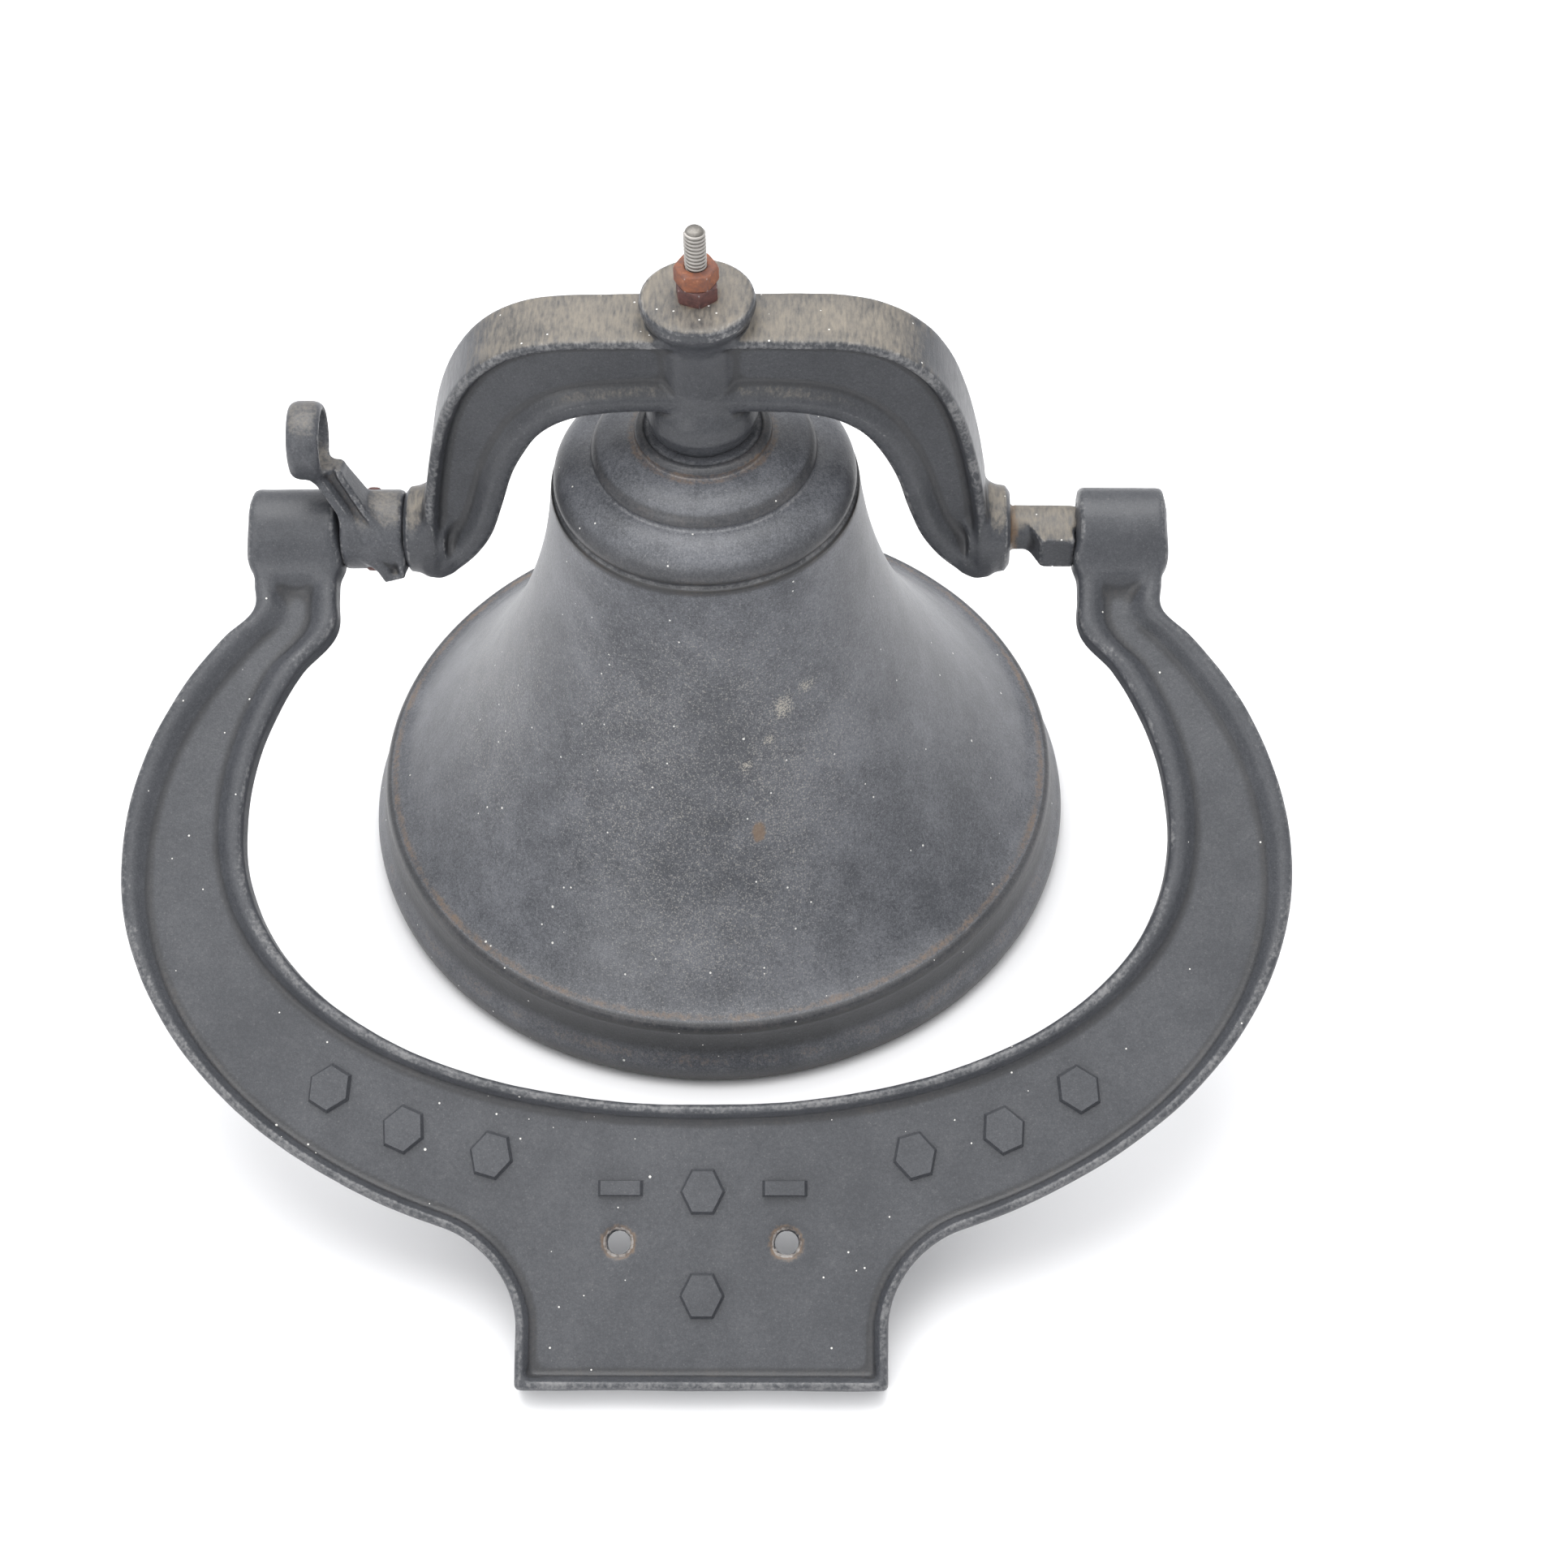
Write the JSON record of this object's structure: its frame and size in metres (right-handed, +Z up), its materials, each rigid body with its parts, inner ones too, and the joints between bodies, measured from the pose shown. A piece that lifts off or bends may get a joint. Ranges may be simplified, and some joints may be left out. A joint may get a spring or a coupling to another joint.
{
  "type": "alarm bell",
  "caption": "Small cast-iron alarm bell hung from a yoke that rocks in a crescent cradle with a two-hole foot, with a pull lever and a hanging clapper.",
  "frame": {"origin": "on the standing surface, under the middle of the whole object's box", "axes": "+Z up along the upright bell's axis, +X along the trunnion axis away from the lever, +Y from the cradle's foot towards the bell"},
  "size_m": [0.348, 0.3404, 0.249],
  "materials": {
    "cradle_iron": "blue-grey painted sand casting, worn bright along its rims",
    "bell_iron": "blue-grey painted sand casting with dust and a rust line above the lip",
    "yoke_iron": "painted sand casting, its upper face worn to warm grey",
    "lever_iron": "painted sand casting, dusty and worn",
    "rusty_steel": "rusted orange-brown",
    "grey_steel": "dull zinc grey thread",
    "dull_steel": "dull oiled steel with specks of rust",
    "clapper_iron": "dark bare iron"
  },
  "bodies": {
    "cradle": {"cradle": "cradle_iron"},
    "bell": {"bell": "bell_iron", "yoke": "yoke_iron", "pull_lever": "lever_iron", "lever_pin": "rusty_steel", "hanger_bolt": "grey_steel", "crown_nut": "rusty_steel", "lock_nut": "rusty_steel", "inner_washer": "dull_steel", "inner_nut": "dull_steel", "clapper_pin": "dull_steel", "clapper_cotter": "dull_steel"},
    "clapper": {"clapper_rod": "clapper_iron", "clapper_ball": "clapper_iron"}
  },
  "joints": [
    {"name": "bell_swing", "type": "hinge", "parent": "cradle", "child": "bell", "pos_m": [0, 0.05586, 0.132], "axis": [1, 0, 0], "range_deg": [-195, 85]},
    {"name": "clapper_swing", "type": "hinge", "parent": "bell", "child": "clapper", "pos_m": [0, 0.05586, 0.149], "axis": [1, 0, 0], "range_deg": [-31, 31]}
  ]
}
